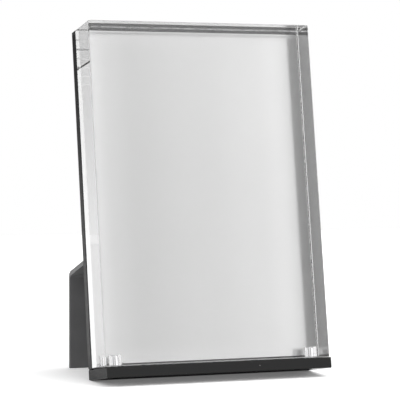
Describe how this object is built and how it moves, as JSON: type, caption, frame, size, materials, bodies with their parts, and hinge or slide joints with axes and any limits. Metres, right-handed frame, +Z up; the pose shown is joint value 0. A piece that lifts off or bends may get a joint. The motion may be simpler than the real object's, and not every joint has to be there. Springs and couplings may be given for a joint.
{
  "type": "photo frame",
  "caption": "Tabletop picture frame: a thick clear block lifts off two pins on the ledge of a leaning black panel, over a removable card, propped by a bent foot.",
  "frame": {"origin": "centre of the footprint, on the table", "axes": "+Z up, the front faces -Y and leans back towards +Y, +X is to the right seen from the front"},
  "size_m": [0.13, 0.0894, 0.196],
  "materials": {
    "clear_acrylic": "clear, polished on every face",
    "black_acrylic": "solid black, gloss faces and polished edges",
    "black_sheet": "solid black, gloss, bent warm",
    "polished_steel": "polished",
    "screw_steel": "plain bright",
    "card": "light grey, satin, finely brushed across"
  },
  "bodies": {
    "frame": {"back_panel": "black_acrylic", "base_ledge": "black_acrylic", "rear_foot": "black_sheet", "pin_left": "polished_steel", "pin_right": "polished_steel", "pin_screws": "screw_steel"},
    "block": {"clear_block": "clear_acrylic"},
    "card": {"photo_insert": "card"}
  },
  "joints": [
    {"name": "block_lift", "type": "slide", "parent": "frame", "child": "block", "axis": [0, 0.165, 0.9863], "range_m": [0, 0.2]},
    {"name": "card_slide", "type": "slide", "parent": "frame", "child": "card", "axis": [0, 0.165, 0.9863], "range_m": [0, 0.2]}
  ]
}
